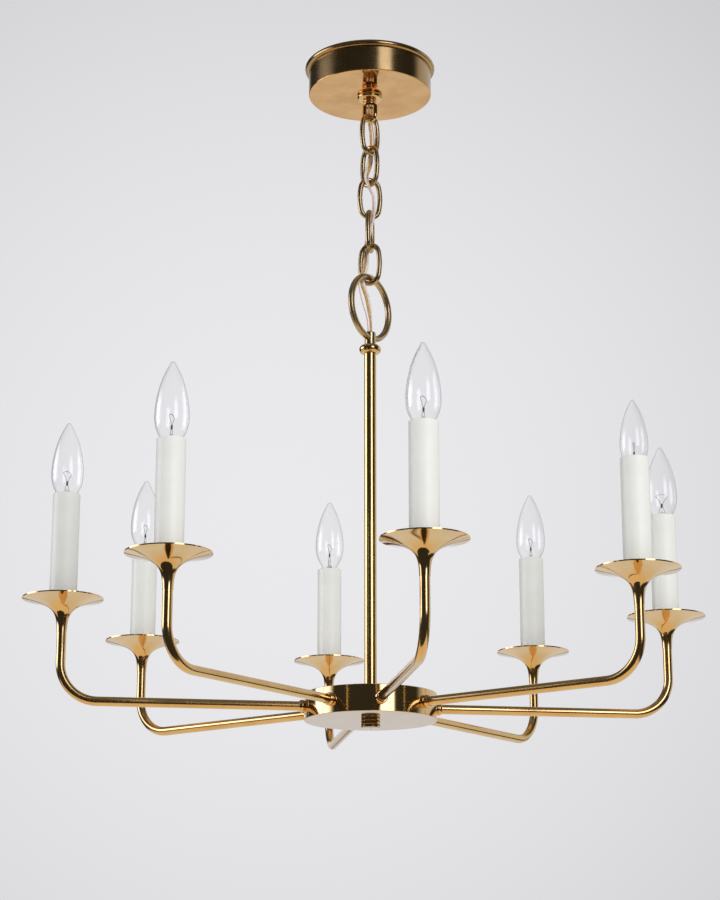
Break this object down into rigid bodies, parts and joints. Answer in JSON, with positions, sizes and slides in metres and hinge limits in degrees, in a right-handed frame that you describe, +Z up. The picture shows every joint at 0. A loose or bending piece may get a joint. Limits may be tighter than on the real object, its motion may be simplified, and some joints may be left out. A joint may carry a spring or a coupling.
{
  "type": "candle chandelier",
  "caption": "Chain-hung brass chandelier: straight tube arms turn up from a round hub to trumpet pans with candle sleeves and clear torpedo bulbs.",
  "frame": {"origin": "centre of the ceiling strap's upper face, in the plane of the ceiling", "axes": "+Z up into the ceiling along the stem, the fixture hangs towards -Z, the pictured side faces -Y"},
  "size_m": [0.671, 0.671, 0.6988],
  "materials": {
    "polished_brass": "polished and lacquered golden brass",
    "aged_brass": "darkened brass, lightly burnished",
    "satin_brass": "spun brass, polished wall and satin face",
    "plated_steel": "zinc-plated steel",
    "ivory_sleeve": "off-white satin plastic",
    "clear_glass": "clear blown glass",
    "cord_jacket": "translucent gold cord jacket",
    "ground_wire": "clear jacket over bare copper",
    "socket_plastic": "moulded dark plastic"
  },
  "bodies": {
    "ceiling_end": {"mounting_strap": "plated_steel", "strap_nuts": "plated_steel", "canopy_nipple": "plated_steel", "canopy": "satin_brass", "collar_ring": "polished_brass", "canopy_loop": "polished_brass", "lamp_cord": "cord_jacket", "ground_wire": "ground_wire"},
    "link_1": {"chain_link_1": "aged_brass"},
    "link_2": {"chain_link_2": "aged_brass"},
    "link_3": {"chain_link_3": "aged_brass"},
    "link_4": {"chain_link_4": "aged_brass"},
    "link_5": {"chain_link_5": "aged_brass"},
    "hanging_frame": {"stem_loop": "aged_brass", "stem_bead": "polished_brass", "stem_tube": "polished_brass", "stem_rod": "plated_steel", "stem_leads": "cord_jacket", "hub_drum": "polished_brass", "hub_plate": "polished_brass", "hub_nut": "plated_steel", "hub_knob": "polished_brass", "arm_1": "polished_brass", "arm_2": "polished_brass", "arm_3": "polished_brass", "arm_4": "polished_brass", "arm_5": "polished_brass", "arm_6": "polished_brass", "arm_7": "polished_brass", "arm_8": "polished_brass", "bobeche_1": "polished_brass", "bobeche_2": "polished_brass", "bobeche_3": "polished_brass", "bobeche_4": "polished_brass", "bobeche_5": "polished_brass", "bobeche_6": "polished_brass", "bobeche_7": "polished_brass", "bobeche_8": "polished_brass", "candle_sleeve_1": "ivory_sleeve", "candle_sleeve_2": "ivory_sleeve", "candle_sleeve_3": "ivory_sleeve", "candle_sleeve_4": "ivory_sleeve", "candle_sleeve_5": "ivory_sleeve", "candle_sleeve_6": "ivory_sleeve", "candle_sleeve_7": "ivory_sleeve", "candle_sleeve_8": "ivory_sleeve", "bulb_1": "clear_glass", "bulb_2": "clear_glass", "bulb_3": "clear_glass", "bulb_4": "clear_glass", "bulb_5": "clear_glass", "bulb_6": "clear_glass", "bulb_7": "clear_glass", "bulb_8": "clear_glass", "arm_collars": "polished_brass", "arm_nuts": "plated_steel", "arm_leads": "cord_jacket", "candle_sockets": "socket_plastic", "bulb_bases": "plated_steel", "bulb_mounts": "clear_glass"}
  },
  "joints": [
    {"name": "link_1_swing", "type": "hinge", "parent": "ceiling_end", "child": "link_1", "pos_m": [0, 0, -0.06115], "axis": [0.866, -0.5, 0], "range_deg": [-12, 12], "deforming": ["lamp_cord", "ground_wire"]},
    {"name": "link_2_swing", "type": "hinge", "parent": "link_1", "child": "link_2", "pos_m": [0, 0, -0.0975], "axis": [0.7314, 0.682, 0], "range_deg": [-12, 12], "deforming": ["lamp_cord", "ground_wire"]},
    {"name": "link_3_swing", "type": "hinge", "parent": "link_2", "child": "link_3", "pos_m": [0, 0, -0.1336], "axis": [0.6947, -0.7193, 0], "range_deg": [-12, 12], "deforming": ["lamp_cord", "ground_wire"]},
    {"name": "link_4_swing", "type": "hinge", "parent": "link_3", "child": "link_4", "pos_m": [0, 0, -0.1697], "axis": [0.9613, 0.2756, 0], "range_deg": [-12, 12], "deforming": ["lamp_cord", "ground_wire"]},
    {"name": "link_5_swing", "type": "hinge", "parent": "link_4", "child": "link_5", "pos_m": [0, 0, -0.2058], "axis": [0.2079, 0.9781, 0], "range_deg": [-12, 12], "deforming": ["lamp_cord", "ground_wire"]},
    {"name": "hanging_frame_swing", "type": "hinge", "parent": "link_5", "child": "hanging_frame", "pos_m": [0, 0, -0.2419], "axis": [0.9063, -0.4226, 0], "range_deg": [-12, 12], "deforming": ["lamp_cord", "ground_wire"]}
  ]
}
